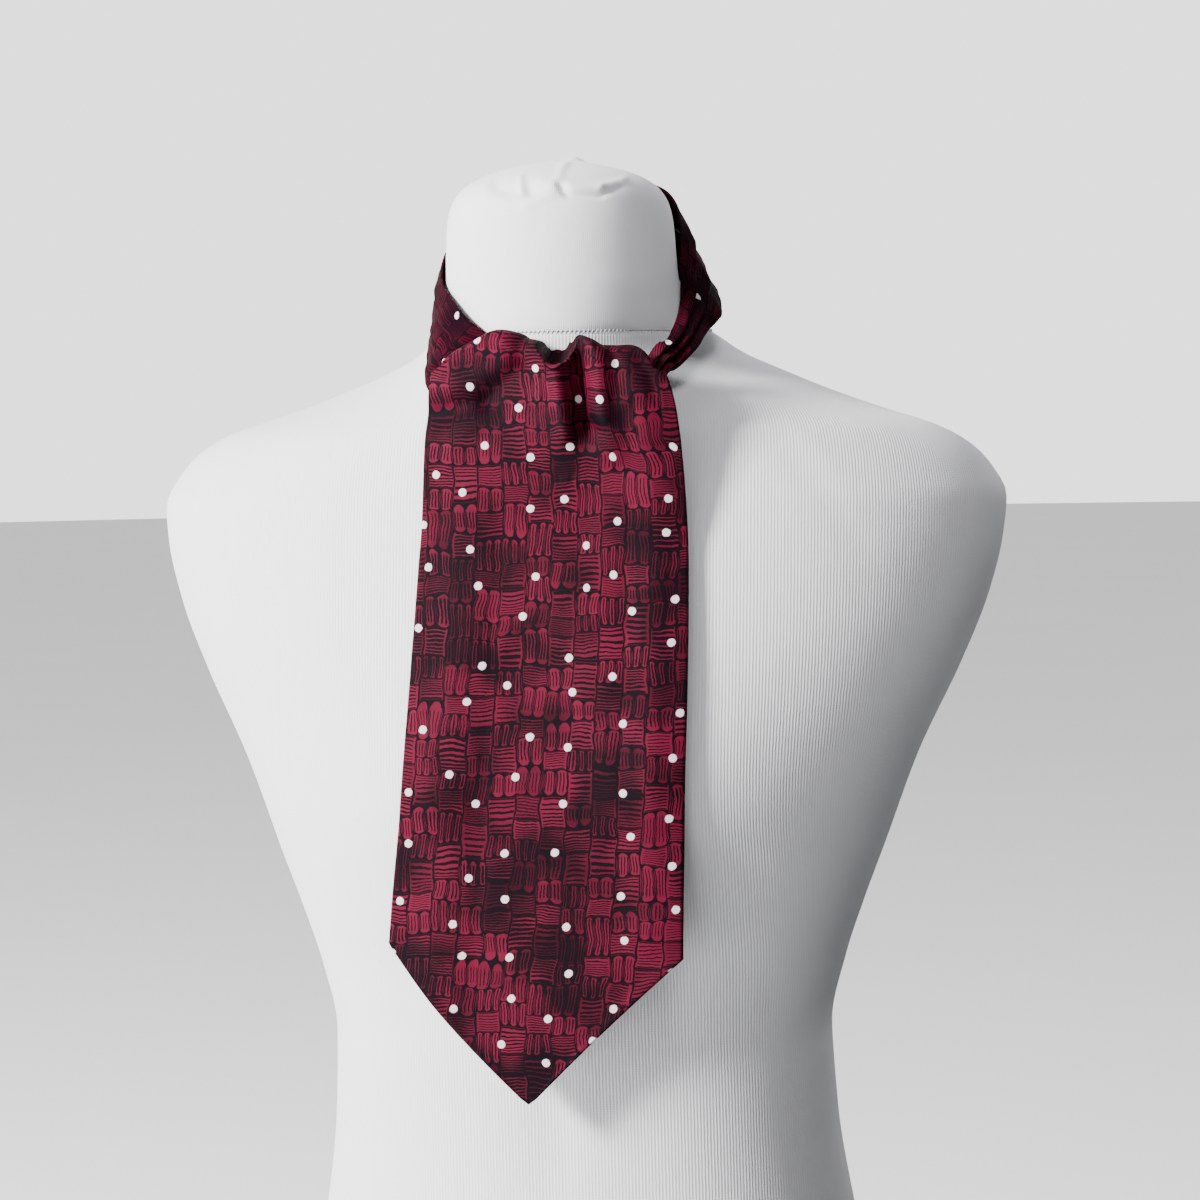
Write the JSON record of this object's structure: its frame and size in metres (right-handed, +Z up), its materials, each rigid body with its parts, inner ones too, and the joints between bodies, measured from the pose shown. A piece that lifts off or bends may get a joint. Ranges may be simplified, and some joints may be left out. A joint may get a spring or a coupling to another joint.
{
  "type": "cravat on a limbless dress form",
  "caption": "Wide pointed cravat tied round the neck of a limbless torso dress form: pleated neckband, ruffled turned-over top, and a long front blade hanging over the chest.",
  "frame": {"origin": "middle of the whole object's footprint, on the surface that the form's flat base rests on", "axes": "+Z up the form, -Y out of its chest, the way the front blade faces, +X towards the form's own left shoulder"},
  "size_m": [0.449, 0.2457, 0.7015],
  "materials": {
    "cravat_cloth": "satiny printed twill, crimson with fine dark hatching and small pale dots",
    "jersey_cover": "fine matt white jersey over foam"
  },
  "bodies": {
    "root": {"dress_form_torso": "jersey_cover", "dress_form_neck": "jersey_cover", "neckband_left": "cravat_cloth", "neckband_back": "cravat_cloth", "neckband_right": "cravat_cloth", "throat_wrap": "cravat_cloth", "under_blade": "cravat_cloth", "front_blade": "cravat_cloth"}
  },
  "joints": []
}
